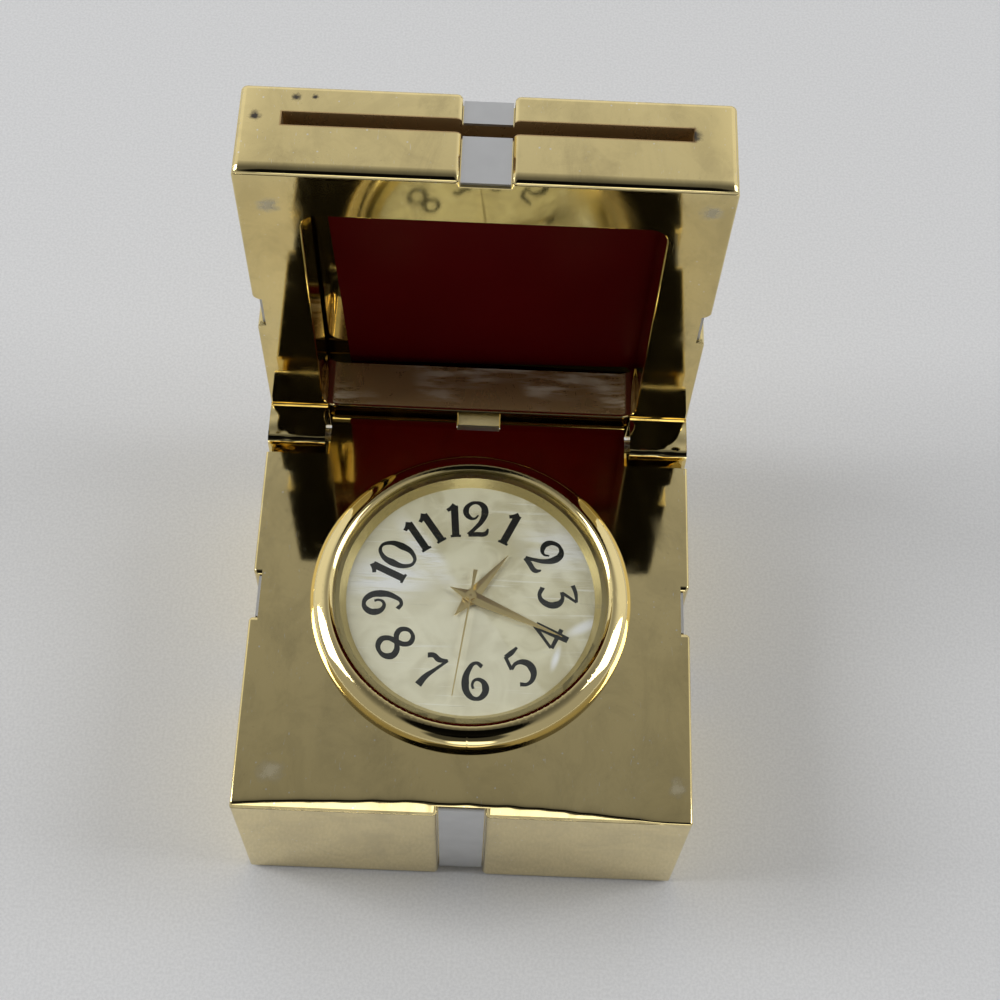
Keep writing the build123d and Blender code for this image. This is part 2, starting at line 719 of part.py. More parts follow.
# a flat yoke on top of the core's ends, with the rotor's hole slit so that the field goes round it
stator_bar_y = rotor_at[1] - 0.2
with BuildPart() as stator:
    with BuildSketch(deep(stator_low)):
        with Locations(rotor_at):
            Circle(magnet_radius + stator_gap + stator_web)
        with Locations((0, stator_bar_y)):
            Rectangle(2 * leg_x + core_width, stator_bar_width)
        for side in (-1, 1):
            with Locations((side * leg_x, clock_y + coil_y - core_width / 2)):
                Rectangle(
                    core_width,
                    stator_bar_y - (clock_y + coil_y - core_width / 2),
                    align=(Align.CENTER, Align.MIN),
                )
        with Locations(rotor_at):
            Circle(magnet_radius + stator_gap, mode=Mode.SUBTRACT)
            Rectangle(
                stator_gap,
                magnet_radius + stator_gap + stator_web + cut_past,
                align=(Align.CENTER, Align.MAX),
                mode=Mode.SUBTRACT,
            )
    extrude(amount=core_thickness)
keep(stator.part, "stator")

board_thickness = 0.3
board_right_x = -5.3
board_length = 6.0
with BuildPart() as circuit_board:
    with BuildSketch(deep(bridge_top)):
        with Locations(centre):
            Circle(movement_radius - module_wall - holder_gap)
        with Locations((board_right_x, clock_y)):
            Rectangle(movement_radius, board_length, align=(Align.MAX, Align.MAX), mode=Mode.INTERSECT)
    extrude(amount=board_thickness)
keep(circuit_board.part, "circuit_board")

crystal_x = board_right_x - 2.0
crystal_front_y = clock_y - board_length + 0.3
with BuildPart() as quartz_crystal:
    with BuildSketch(Plane.XZ.offset(-crystal_front_y - crystal_length)):
        with Locations((crystal_x, base_top - bridge_top + board_thickness + crystal_radius)):
            Circle(crystal_radius)
    extrude(amount=crystal_length)
    chamfer(quartz_crystal.faces().sort_by(Axis.Y)[0].edges(), small_chamfer)
keep(quartz_crystal.part, "quartz_crystal")

# ================================================================ going train
arbor_low = bridge_top + pivot_sink
arbor_high = main_plate_bottom - pivot_sink


def arbor(at):
    """A steel shaft between the plates, with its ends in their pivot holes."""
    return disc(arbor_low, pivot_radius, arbor_low - arbor_high, at)


# each pinion starts on top of its own wheel and reaches past the wheel that it drives
with BuildPart() as rotor:
    arbor(rotor_at)
    gear(
        rotor_pinion_teeth, rotor_module, fifth_layer, 2 * wheel_thickness, rotor_at, rotor_angle + 180
    )
    disc(stator_low + magnet_proud, magnet_radius, core_thickness + 2 * magnet_proud, rotor_at)
keep(rotor.part, "rotor")

with BuildPart() as fifth_wheel:
    arbor(fifth_at)
    gear(
        fifth_wheel_teeth,
        rotor_module,
        fifth_layer,
        wheel_thickness,
        fifth_at,
        mesh_angle(rotor_angle + 180, fifth_wheel_teeth),
    )
    gear(
        fifth_pinion_teeth,
        fifth_module,
        fifth_layer - wheel_thickness,
        fifth_layer - second_layer + play,
        fifth_at,
        mesh_angle(fifth_angle, fifth_pinion_teeth),
    )
keep(fifth_wheel.part, "fifth_wheel")

with BuildPart() as second_wheel:
    disc(arbor_low, pivot_radius, pivot_sink + play)
    disc(bridge_top - play, second_hub_radius, bridge_top - play - second_layer)
    disc(
        second_layer, second_arbor_radius, second_layer + second_hand_height + second_hand_thickness
    )
    gear(second_wheel_teeth, fifth_module, second_layer, wheel_thickness, centre, fifth_angle)
    gear(
        second_pinion_teeth,
        third_module,
        second_layer - wheel_thickness,
        second_layer - third_layer + play,
        centre,
        third_angle,
    )
keep(second_wheel.part, "second_wheel")

with BuildPart() as third_wheel:
    arbor(third_at)
    gear(
        third_wheel_teeth,
        third_module,
        third_layer,
        wheel_thickness,
        third_at,
        mesh_angle(third_angle, third_wheel_teeth),
    )
    gear(
        third_pinion_teeth,
        center_module,
        third_layer - wheel_thickness,
        third_layer - center_layer + play,
        third_at,
        third_angle + 180,
    )
keep(third_wheel.part, "third_wheel")

with BuildPart() as center_wheel:
    gear(
        center_wheel_teeth,
        center_module,
        center_layer,
        wheel_thickness,
        centre,
        mesh_angle(third_angle + 180, center_wheel_teeth),
        bore=cannon_bore,
    )
    disc(center_layer, cannon_radius, center_layer + minute_hand_height + hand_thickness, bore=cannon_bore)
keep(center_wheel.part, "center_wheel")

motion_layer = main_plate_top - play
with BuildPart() as cannon_pinion:
    gear(
        cannon_teeth, motion_module, motion_layer, cannon_length, centre, motion_angle, bore=cannon_radius
    )
keep(cannon_pinion.part, "cannon_pinion")

stud_bore = pivot_radius + pivot_gap
with BuildPart() as minute_wheel:
    gear(
        minute_wheel_teeth,
        motion_module,
        motion_layer,
        wheel_thickness,
        motion_at,
        mesh_angle(motion_angle, minute_wheel_teeth),
        bore=stud_bore,
    )
    gear(
        minute_pinion_teeth,
        motion_module,
        motion_layer - wheel_thickness,
        wheel_thickness + play,
        motion_at,
        motion_angle + 180,
        bore=stud_bore,
    )
keep(minute_wheel.part, "minute_wheel")

with BuildPart() as hour_wheel:
    gear(
        hour_wheel_teeth,
        motion_module,
        hour_layer,
        hour_layer - play,
        centre,
        mesh_angle(motion_angle + 180, hour_wheel_teeth),
        bore=hour_tube_bore,
    )
    disc(hour_layer, hour_tube_radius, hour_layer + hour_hand_height + hand_thickness, bore=hour_tube_bore)
keep(hour_wheel.part, "hour_wheel")

# ================================================================ hands
hub_wall = 0.25
hand_sizes = {
    "hour_hand": (
        hour_hand_height, hour_hand_length, hour_hand_tail, hour_hand_width, hour_hand_angle, hour_tube_radius
    ),
    "minute_hand": (
        minute_hand_height, minute_hand_length, minute_hand_tail, minute_hand_width, minute_hand_angle,
        cannon_radius,
    ),
}
for name, (height, length, tail, width, angle, bore) in hand_sizes.items():
    # a kite with two polished facets that meet in a ridge; the angle is clockwise from twelve
    lying = Plane((0, clock_y, base_top + height)).rotated((0, 0, -angle))
    ridge = Plane((0, clock_y, base_top + height + hand_thickness)).rotated((0, 0, -angle))
    with BuildPart() as hand:
        with BuildSketch(lying):
            Polygon((0, length), (-width / 2, 0), (0, -tail), (width / 2, 0), align=None)
        extrude(amount=hand_thickness)
        for side in (-1, 1):
            facet_up = ridge.z_dir + ridge.x_dir * side * tan(radians(hand_slope))
            facet = Plane(ridge.origin, x_dir=ridge.y_dir, z_dir=facet_up)
            split(bisect_by=facet, keep=Keep.BOTTOM)
        with BuildSketch(lying):
            Circle(bore + hub_wall)
        extrude(amount=hand_thickness)
        with BuildSketch(lying):
            Circle(bore)
        extrude(amount=hand_thickness, mode=Mode.SUBTRACT)
    keep(hand.part, name)

with BuildPart() as second_hand:
    with BuildSketch(Plane(origin=(0, clock_y, base_top + second_hand_height)).rotated((0, 0, -second_hand_angle))):
        with BuildLine():
            Polyline(
                (-second_hand_tail_width / 2, -second_hand_tail),
                (second_hand_tail_width / 2, -second_hand_tail),
                (second_hand_width / 2, -second_hand_tail_start),
                (second_hand_width / 4, second_hand_length),
                (-second_hand_width / 4, second_hand_length),
                (-second_hand_width / 2, -second_hand_tail_start),
                close=True,
            )
        make_face()
        Circle(second_hand_hub)
        Circle(second_arbor_radius, mode=Mode.SUBTRACT)
    extrude(amount=second_hand_thickness)
keep(second_hand.part, "second_hand")

# ================================================================ setting stem and crown
with BuildPart() as stem:
    with BuildSketch(Plane.YZ.offset(stem_start)):
        with Locations((clock_y, base_top - stem_depth)):
            Circle(stem_radius)
    extrude(amount=crown_x - stem_start)
    chamfer(stem.faces().sort_by(Axis.X)[0].edges(), 0.1)
keep(stem.part, "stem")

with BuildPart() as crown:
    with BuildSketch(Plane.YZ.offset(crown_x)):
        with Locations((clock_y, base_top - stem_depth)):
            Circle(crown_radius)
            with PolarLocations(crown_radius, crown_ribs):
                RegularPolygon(crown_flute, 4, mode=Mode.SUBTRACT)
    extrude(amount=crown_length)
keep(crown.part, "crown")
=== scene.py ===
# %% [markdown]
# # A gilt gift-box clock, standing open
#
# The clock is a small polished metal box in the shape of a ribboned gift. Nearly all that the eye
# sees on it is a reflection, so most of the work is in two places: surfaces that are as flat and as
# wavy as polished castings are, and a plain studio that gives them something to reflect.
# The CAD model brings every piece at its real size. Here the pieces get smooth shading, real
# finishes, printed numerals and light.

# %% Load the frame
import json
import math

import bpy
from mathutils import Matrix, Vector


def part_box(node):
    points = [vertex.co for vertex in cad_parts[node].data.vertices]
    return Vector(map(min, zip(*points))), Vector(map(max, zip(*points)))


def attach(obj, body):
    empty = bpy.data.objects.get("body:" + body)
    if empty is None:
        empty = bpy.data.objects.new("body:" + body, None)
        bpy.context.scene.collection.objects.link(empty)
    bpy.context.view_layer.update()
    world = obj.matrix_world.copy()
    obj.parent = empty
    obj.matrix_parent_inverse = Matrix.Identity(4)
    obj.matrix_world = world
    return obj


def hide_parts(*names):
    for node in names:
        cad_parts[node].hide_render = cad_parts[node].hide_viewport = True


MM = 0.001

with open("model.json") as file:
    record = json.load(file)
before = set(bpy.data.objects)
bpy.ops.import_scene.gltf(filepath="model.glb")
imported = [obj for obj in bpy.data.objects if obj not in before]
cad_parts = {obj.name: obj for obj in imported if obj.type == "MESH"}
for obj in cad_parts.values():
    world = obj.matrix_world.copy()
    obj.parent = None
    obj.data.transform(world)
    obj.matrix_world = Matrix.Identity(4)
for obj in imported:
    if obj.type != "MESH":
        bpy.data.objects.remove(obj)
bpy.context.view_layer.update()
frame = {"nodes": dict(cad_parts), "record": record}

# %% [markdown]
# ## The camera
#
# The photograph was taken from high up in front with a phone. Its place was worked out from the
# edges of the box, so the render can be laid over the picture. A Blender camera looks down its own
# -Z, so three small turns about X, Y and Z aim it.

# %% Aim the camera
CAMERA_PLACE = Vector((1.396, -80.832, 208.471)) * MM
CAMERA_TURNS = (0.470, -0.025, 0.033)
CAMERA_LENS = 63.69

camera_data = bpy.data.cameras.new("camera")
camera_data.lens = CAMERA_LENS
camera_data.sensor_width = 36.0
camera_data.clip_start = 5 * MM
camera = bpy.data.objects.new("camera", camera_data)
bpy.context.scene.collection.objects.link(camera)
turn_x, turn_y, turn_z = CAMERA_TURNS
aim = Matrix.Rotation(turn_z, 4, "Z") @ Matrix.Rotation(turn_y, 4, "Y") @ Matrix.Rotation(turn_x, 4, "X")
camera.matrix_world = Matrix.Translation(CAMERA_PLACE) @ aim
bpy.context.scene.camera = camera
print("camera height in mm:", round(CAMERA_PLACE.z / MM, 1))

# %% [markdown]
# ## Shader maths as plain arithmetic
#
# A finish is a graph of nodes. Written out node by node it is hard to read, so a small class wraps
# one socket and lets + - * / build the Math nodes. Everything else goes through one method.


# %% A socket that does arithmetic
class Wire:
    """The output of one shader node."""

    def __init__(self, finish, socket):
        self.finish = finish
        self.socket = socket

    def maths(self, operation, *values):
        return self.finish.node("ShaderNodeMath", {"operation": operation}, dict(enumerate(values)))

    def __add__(self, other):
        return self.maths("ADD", self, other)

    __radd__ = __add__

    def __mul__(self, other):
        return self.maths("MULTIPLY", self, other)

    __rmul__ = __mul__

    def __sub__(self, other):
        return self.maths("SUBTRACT", self, other)

    def __rsub__(self, other):
        return self.maths("SUBTRACT", other, self)

    def __truediv__(self, other):
        return self.maths("DIVIDE", self, other)

    def __pow__(self, other):
        return self.maths("POWER", self, other)

    def size(self):
        return self.maths("ABSOLUTE", self)

    def least(self, other):
        return self.maths("MINIMUM", self, other)

    def most(self, other):
        return self.maths("MAXIMUM", self, other)

    def ramp(self, low, high):
        """0 below low, 1 above high, and a soft step between them. high may be the smaller one."""
        settings = {"interpolation_type": "SMOOTHSTEP", "clamp": True}
        if low < high:
            return self.finish.node("ShaderNodeMapRange", settings, {0: self, 1: low, 2: high})
        return 1 - self.finish.node("ShaderNodeMapRange", settings, {0: self, 1: high, 2: low})


class Finish:
    """A material, or the world, whose nodes are made by calls."""

    def __init__(self, holder):
        holder.use_nodes = True
        self.holder = holder
        self.tree = holder.node_tree
        self.surface = self.tree.nodes.get("Principled BSDF")

    def join(self, value, socket):
        if isinstance(value, Wire):
            self.tree.links.new(value.socket, socket)
        elif hasattr(socket.default_value, "__len__") and len(value) == 3:
            socket.default_value = (*value, 1.0)[: len(socket.default_value)]
        else:
            socket.default_value = value

    def node(self, kind, settings=None, values=None, output=0):
        made = self.tree.nodes.new(kind)
        for name, value in (settings or {}).items():
            setattr(made, name, value)
        for name, value in (values or {}).items():
            self.join(value, made.inputs[name])
        return Wire(self, made.outputs[output])

    def set(self, **values):
        for name, value in values.items():
            self.join(value, self.surface.inputs[name.replace("_", " ")])

    def place(self):
        """The point on the object in millimetres, in the frame that the CAD model uses."""
        metres = self.node("ShaderNodeTexCoord", output="Object")
        return self.node("ShaderNodeVectorMath", {"operation": "SCALE"}, {0: metres, "Scale": 1 / MM})

    def axes(self, place):
        parts = self.node("ShaderNodeSeparateXYZ", None, {0: place}).socket.node
        return [Wire(self, output) for output in parts.outputs]

    def stretch(self, place, scale, turn=(0, 0, 0)):
        return self.node("ShaderNodeMapping", None, {"Vector": place, "Scale": scale, "Rotation": turn})

    def noise(self, place, grain, detail=2.0, roughness=0.5, distortion=0.0):
        """Smooth noise from 0 to 1, whose blobs are about `grain` millimetres across."""
        values = {
            "Vector": place,
            "Scale": 1 / grain,
            "Detail": detail,
            "Roughness": roughness,
            "Distortion": distortion,
        }
        return self.node("ShaderNodeTexNoise", None, values)

    def cells(self, place, grain):
        """How far a point is from the nearest of many scattered dots, from 0 at a dot."""
        return self.node("ShaderNodeTexVoronoi", None, {"Vector": place, "Scale": 1 / grain})

    def mix(self, share, first, second):
        """The first colour where share is 0, the second where it is 1."""
        return self.node("ShaderNodeMix", {"data_type": "RGBA"}, {0: share, 6: first, 7: second}, 2)

    def relief(self, height):
        """A bump whose height is in millimetres."""
        return self.node("ShaderNodeBump", None, {"Strength": 1.0, "Distance": MM, "Height": height})


def new_finish(name):
    return Finish(bpy.data.materials.new(name))


# %% [markdown]
# ## Smooth copies of the CAD pieces
#
# The CAD pieces arrive as loose triangles, so a mirror finish would show every one of them. A copy is
# joined up, and each corner of each face gets the normal that the real surface has there: flats stay
# truly flat right up to their rounded edges, and only the rounded edges turn. A mirror shows the
# smallest fault in a normal, which is why this is worked out here and not left to plain smoothing.


# %% Helpers for pieces
def select_only(piece):
    if bpy.context.object and bpy.context.object.mode != "OBJECT":
        bpy.ops.object.mode_set(mode="OBJECT")
    bpy.ops.object.select_all(action="DESELECT")
    piece.select_set(True)
    bpy.context.view_layer.objects.active = piece


def body_of(node):
    for body, nodes in frame["record"]["behaviour"]["bodies"].items():
        if node in nodes:
            return body
    raise KeyError(node)


def slot_of(node):
    return next(s["material_slot"] for s in frame["record"]["subparts"] if s["node"] == node)


SMOOTH_TURN = math.radians(28)
FLAT_WINS = 3.0  # how much larger than its neighbour a flat must be to lend it its normal
JOIN_GAP = 0.0004 * MM
SHARP_TURN = math.radians(60)
FLAT_TURN = math.radians(0.5)


def flat_key(face):
    """The same for all faces of one flat."""
    normal = face.normal
    return (*(round(part, 3) for part in normal), round(normal.dot(face.center) / (0.01 * MM)))


def true_normals(piece):
    """Flats keep one normal up to their edge, and rounded edges turn smoothly from flat to flat."""
    mesh = piece.data
    flats = {}
    for face in mesh.polygons:
        flats[flat_key(face)] = flats.get(flat_key(face), 0.0) + face.area
    around = {}
    for face in mesh.polygons:
        for vertex in face.vertices:
            around.setdefault(vertex, []).append(face)
    normals = [None] * len(mesh.loops)
    for face in mesh.polygons:
        own_area = flats[flat_key(face)]
        for loop, vertex in zip(face.loop_indices, face.vertices):
            joined = [f for f in around[vertex] if f.normal.angle(face.normal, 0.0) < SMOOTH_TURN]
            widest = max(joined, key=lambda f: flats[flat_key(f)])
            if flats[flat_key(widest)] > FLAT_WINS * own_area:
                normals[loop] = widest.normal.copy()
            else:
                fair = [f for f in joined if flats[flat_key(f)] * FLAT_WINS > own_area]
                kinds = {flat_key(f): f.normal for f in fair}
                normals[loop] = sum(kinds.values(), Vector()).normalized()
    mesh.normals_split_custom_set(normals)


def round_edges(piece, chosen, width):
    """Rounds the sharp outer edges whose two ends, in millimetres, pass a test."""
    select_only(piece)
    mesh = piece.data
    bpy.ops.object.mode_set(mode="EDIT")
    bpy.ops.mesh.select_mode(type="EDGE")
    bpy.ops.mesh.select_all(action="DESELECT")
    bpy.ops.object.mode_set(mode="OBJECT")
    beside = {}
    for face in mesh.polygons:
        for key in face.edge_keys:
            beside.setdefault(key, []).append(face)
    count = 0
    for edge in mesh.edges:
        ends = [mesh.vertices[v].co / MM for v in edge.vertices]
        faces = beside[edge.key]
        sharp = len(faces) == 2 and faces[0].normal.angle(faces[1].normal) > SHARP_TURN
        if sharp and chosen(*ends):
            edge.select = True
            count += 1
    bpy.ops.object.mode_set(mode="EDIT")
    bpy.ops.mesh.bevel(offset=width * MM, segments=3, affect="EDGES", clamp_overlap=False)
    bpy.ops.object.mode_set(mode="OBJECT")
    print(f"{piece.name}: {count} edges rounded by {width} mm")


def smooth_copy(node, rounds=()):
    """A joined, smoothly shaded copy that stands for a CAD node."""
    source = frame["nodes"][node]
    piece = source.copy()
    piece.data = source.data.copy()
    piece.name = f"{node}_finished"
    piece.parent = None
    piece.matrix_world = Matrix.Identity(4)
    for collection in source.users_collection:
        collection.objects.link(piece)
    select_only(piece)
    bpy.ops.object.mode_set(mode="EDIT")
    bpy.ops.mesh.select_all(action="SELECT")
    bpy.ops.mesh.remove_doubles(threshold=JOIN_GAP)
    if rounds:
        bpy.ops.mesh.dissolve_limited(angle_limit=FLAT_TURN)
    bpy.ops.object.mode_set(mode="OBJECT")
    for chosen, width in rounds:
        round_edges(piece, chosen, width)
    bpy.ops.object.shade_smooth()
    true_normals(piece)
    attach(piece, body_of(node))
    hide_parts(node)
    return piece


def dress(piece, finish):
    piece.data.materials.clear()
    piece.data.materials.append(finish.holder)


# %% [markdown]
# ## Polished gold plate
#
# The plating is a pale gold over a cast and polished body. A casting is never a true mirror: slow
# waves bend what it reflects, a fine orange peel blurs it a little, and handling leaves smears and
# hairline scratches. The colour clouds over with grime, and it carries dust, tarnished spots and, at
# the card slot, chips where the plating is gone.


# %% Gold for the box
GOLD = (0.90, 0.75, 0.38)
GOLD_DEEP = (0.82, 0.66, 0.30)
BARE_METAL = (0.035, 0.028, 0.02)
GRIME = (0.16, 0.13, 0.08)
TARNISH = (0.50, 0.50, 0.46)
DUST = (0.95, 0.94, 0.88)
RUBBED_GOLD = (0.46, 0.31, 0.14)
POLISH = 0.05  # the roughness of clean plating
SMEAR_DULLS = 0.09  # what a smear adds to it
SPOT_DULLS = 0.25
SMEAR_SHADE = 0.22
HAZE_SHADE = 0.12
DUST_SHADE = 0.6
SCRATCH_DEPTH = 0.0002


def polished_gold(name, waves=0.006, peel=0.0006, stains=1.0):
    """A gold finish, with its place, colour, height in millimetres and smears."""
    finish = new_finish(name)
    place = finish.place()
    slow = finish.noise(place, 9.0, 1.0)
    grain = finish.noise(place, 0.55, 2.0)
    smear = finish.noise(finish.stretch(place, (1, 0.45, 0.6)), 6.0, 6.0, 0.7, 0.6).ramp(0.45, 0.75)
    specks = finish.noise(place, 0.5, 3.0, 0.6).ramp(0.66, 0.76)
    smear = (smear + specks * 0.7).least(1.0)
    scratch_lines = finish.noise(finish.stretch(place, (6, 0.25, 0.4), (0.3, 0.2, 0.9)), 0.8, 1.0)
    hairs = finish.noise(finish.stretch(place, (3, 0.4, 2), (0.2, 0.5, -0.7)), 0.5, 1.0, 0.5, 1.5)
    scratches = scratch_lines.ramp(0.70, 0.74).most(hairs.ramp(0.76, 0.78))
    hazy = finish.noise(place, 7.0, 6.0, 0.65, 0.8).ramp(0.45, 0.65)
    height = slow * waves + grain * peel - scratches * SCRATCH_DEPTH
    colour = finish.mix(finish.noise(place, 14.0, 2.0), GOLD, GOLD_DEEP)
    colour = finish.mix(hazy * HAZE_SHADE * stains, colour, GRIME)
    dust = finish.cells(place, 1.3).ramp(0.10, 0.06) * finish.noise(place, 8.0, 2.0).ramp(0.45, 0.55)
    dust = dust.most(hairs.ramp(0.74, 0.77)) * stains
    colour = finish.mix(dust * DUST_SHADE, colour, DUST)
    finish.set(Metallic=1.0)
    return finish, place, colour, height, smear


# %% [markdown]
# The base's top rolls over gently at its front edge, so that a strip there mirrors the bright side of
# the room. The roll comes and goes along the edge, which makes the strip wavy.

# %% The base's gold, with its rolled front edge and worn spots
base_low, base_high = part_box("base_casting")
FRONT_Y = base_low.y / MM
TOP_Z = base_high.z / MM
ROLL_SLOPE = 1.15
ROLL_WIDTH = 1.35  # at its widest, a little left of the middle
ROLL_MIDDLE = -4.0
ROLL_REACH = 26.0  # from the middle to where it dies out
ROLL_WAVER = 0.9
ROLL_CREASE = 0.16


def spot(finish, place, centre, radius, ragged):
    """1 inside a ragged blot around a point, in millimetres, and 0 outside it."""
    settings = {"operation": "DISTANCE"}
    away = finish.node("ShaderNodeVectorMath", settings, {0: place, 1: centre}, "Value")
    edge = (finish.noise(place, radius * 0.9, 3.0) - 0.5) * (2.0 * ragged * radius)
    return (away + edge).ramp(radius * 1.5, radius * 0.3)


def near_top(up, top_z):
    """1 on a top face and its rounded edges, and 0 on the walls below."""
    return up.ramp(top_z - 0.35, top_z - 0.2)


def soiled(finish, colour, smear, spots, spot_share):
    """The plating's colour under its smears and tarnished spots."""
    return finish.mix(spots * spot_share, finish.mix(smear * SMEAR_SHADE, colour, GRIME), TARNISH)


base_gold, place, colour, height, smear = polished_gold("gold_plate_base")
across, along, up = base_gold.axes(place)
on_top = near_top(up, TOP_Z)
wobble = (base_gold.noise(base_gold.stretch(place, (1, 0.2, 0.2)), 6.0, 1.5) - 0.5) * ROLL_WAVER
from_middle = (across - ROLL_MIDDLE) / ROLL_REACH
width = (1 - from_middle * from_middle) * ROLL_WIDTH + wobble
inside = width - (along - FRONT_Y)
rolled = (inside + (inside * inside + ROLL_CREASE**2) ** 0.5) * on_top * (ROLL_SLOPE / 2)
left_spot = spot(base_gold, place, (-20.9, -20.8, TOP_Z), 1.2, 0.9)
right_spot = spot(base_gold, place, (23.4, -20.9, TOP_Z), 0.9, 0.9)
spots = left_spot.most(right_spot)
base_gold.set(
    Base_Color=soiled(base_gold, colour, smear, spots, 0.45),
    Roughness=POLISH + smear * SMEAR_DULLS + spots * SPOT_DULLS,
    Normal=base_gold.relief(height - rolled),
)

dress(smooth_copy("base_casting"), base_gold)

# %% [markdown]
# The lid's slot wall, which faces up when it is open, turns down softly at its front and side edges.
# Cards have chipped the plating about the slot and rubbed the window's lower shelf dull.

# %% The lid's gold
lid_low, lid_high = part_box("lid_casting")
LID_TOP_Z = lid_high.z / MM
LID_FACE_Y = 25.1
FRAME_BACK_Y = 31.2
GROOVE_WIDTH = 5.2
GROOVE_DEPTH = 1.0
WINDOW_HALF_WIDTH = 18.7
SHELF_Z = LID_TOP_Z - 45.0
SLOT_Y = 32.02
SLOT_HALF_GAP = 0.9
SLOT_HALF_WIDTH = 20.7
FRONT_ROLL = (1.5, 0.48)  # width and drop
SIDE_ROLL = (3.0, 0.22)
KNUCKLE_CROWN = 0.5
CHIP_DEPTH = 0.01
CHIPS = ((-23.2, 32.2, 0.55), (-19.3, 34.7, 0.45), (-17.4, 34.8, 0.3), (20.4, 32.0, 0.75))


def roll(distance, width, drop):
    """The drop of a surface that turns down over the last `width` millimetres before an edge."""
    nearness = (1 - distance / width).most(0.0)
    return nearness * nearness * drop


def within(value, middle, reach, fade=0.1):
    """1 where a value is no further than `reach` from the middle, fading to 0 just outside."""
    return (value - middle).size().ramp(reach + fade, reach)


lid_gold, place, colour, height, smear = polished_gold("gold_plate_lid")
across, along, up = lid_gold.axes(place)
chip_spots = [spot(lid_gold, place, (x, y, LID_TOP_Z), size, 0.8) for x, y, size in CHIPS]
chips = chip_spots[0]
for chip in chip_spots[1:]:
    chips = chips.most(chip)
left_spot = spot(lid_gold, place, (-21.8, LID_FACE_Y, 63.3), 1.0, 0.9)
right_spot = spot(lid_gold, place, (22.6, LID_FACE_Y, 65.0), 1.0, 0.9)
spots = left_spot.most(right_spot)

side_distance = (across.size() - lid_high.x / MM) * -1
rolled = roll(along - LID_FACE_Y, *FRONT_ROLL) + roll(side_distance, *SIDE_ROLL)
knuckle = along.ramp(LID_FACE_Y - 0.02, LID_FACE_Y - 0.3)
crown = lid_gold.noise(place, 3.5, 1.0) * knuckle * KNUCKLE_CROWN

on_shelf = within(up, SHELF_Z, 0.1, 0.2) * within(across, 0.0, WINDOW_HALF_WIDTH, 0.2)
on_shelf = on_shelf * along.ramp(LID_FACE_Y + 0.3, LID_FACE_Y + 0.5)
on_shelf = on_shelf * along.ramp(FRAME_BACK_Y + 0.3, FRAME_BACK_Y + 0.1)
in_slot = within(along, SLOT_Y, SLOT_HALF_GAP) * within(across, 0.0, SLOT_HALF_WIDTH)
in_slot = in_slot * up.ramp(LID_TOP_Z - 8.0, LID_TOP_Z - 6.0)
dull = on_shelf.most(in_slot)
streaks = lid_gold.noise(lid_gold.stretch(place, (0.15, 1, 1)), 0.8, 4.0, 0.6).ramp(0.40, 0.62)
rubbed = streaks * on_shelf * lid_gold.noise(place, 7.0, 1.0).ramp(0.35, 0.6)

worn = soiled(lid_gold, colour, smear, spots, 0.6)
worn = lid_gold.mix(dull, worn, RUBBED_GOLD)
worn = lid_gold.mix(rubbed * 0.5, worn, DUST)
lid_gold.set(
    Base_Color=lid_gold.mix(chips, worn, BARE_METAL),
    Metallic=(1 - chips * 0.8).least(1 - dull * 0.4 - rubbed * 0.3),
    Roughness=POLISH + smear * SMEAR_DULLS + spots * SPOT_DULLS + chips * 0.5 + dull * 0.22 + rubbed * 0.2,
    Normal=lid_gold.relief(height + crown - chips * CHIP_DEPTH - rolled * near_top(up, LID_TOP_Z)),
)


ON_EDGE = 0.02  # how near an edge's ends must be to a line to count as on it
GROOVE_ROUND = 0.6
WINDOW_ROUND = 0.22


def beside_groove(first, last):
    """True on the outer edges of the lid's ribbon grooves, which the casting's polish has rounded."""
    low, high = lid_low / MM, lid_high / MM
    middle_z = high.z - (high.x - low.x) / 2
    floor = GROOVE_DEPTH - 0.05
    half = GROOVE_WIDTH / 2
    up_and_down = all(abs(abs(end.x) - half) < ON_EDGE for end in (first, last))
    across_lid = all(abs(abs(end.z - middle_z) - half) < ON_EDGE for end in (first, last))
    outside_y = min(first.y, last.y) > high.y - floor
    outside_z = min(first.z, last.z) > high.z - floor
    outside_x = min(abs(first.x), abs(last.x)) > high.x - floor
    return (up_and_down and (outside_y or outside_z)) or (across_lid and (outside_y or outside_x))


def window_rim(first, last):
    """True on the front edge of the lid's window."""
    on_face = all(abs(end.y - LID_FACE_Y) < ON_EDGE for end in (first, last))
    return on_face and all(abs(end.x) < WINDOW_HALF_WIDTH + ON_EDGE for end in (first, last))


lid_rounds = ((beside_groove, GROOVE_ROUND), (window_rim, WINDOW_ROUND))
dress(smooth_copy("lid_casting", lid_rounds), lid_gold)
print("box pieces dressed")

# %% [markdown]
# ## The clock's gold
#
# The bezel is spun and buffed brighter than the box. The sloping ring under the glass is brushed
# round and round, so its fine lines follow the circle. The hands are two polished facets each.

# %% Bezel, dial ring and hands
dial_low, dial_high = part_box("dial")
clock_centre = (dial_low + dial_high) / 2 / MM
BORE_EDGE = 15.72  # radii from the clock's axis
RING_EDGE = 14.9
RING_REACH = 15.55
BRUSHED_LIGHT = (0.72, 0.62, 0.30)
BRUSHED_DARK = (0.50, 0.40, 0.17)


def brushing_round(finish, place):
    """Fine lines that follow the clock's circle, and each point's distance from its axis."""
    across, along, up = finish.axes(place)
    off_x, off_y = across - clock_centre.x, along - clock_centre.y
    out = (off_x * off_x + off_y * off_y) ** 0.5
    lines = finish.node("ShaderNodeCombineXYZ", None, {0: out, 1: off_x / 9.0, 2: up})
    return finish.noise(lines, 0.06, 3.0, 0.7), out


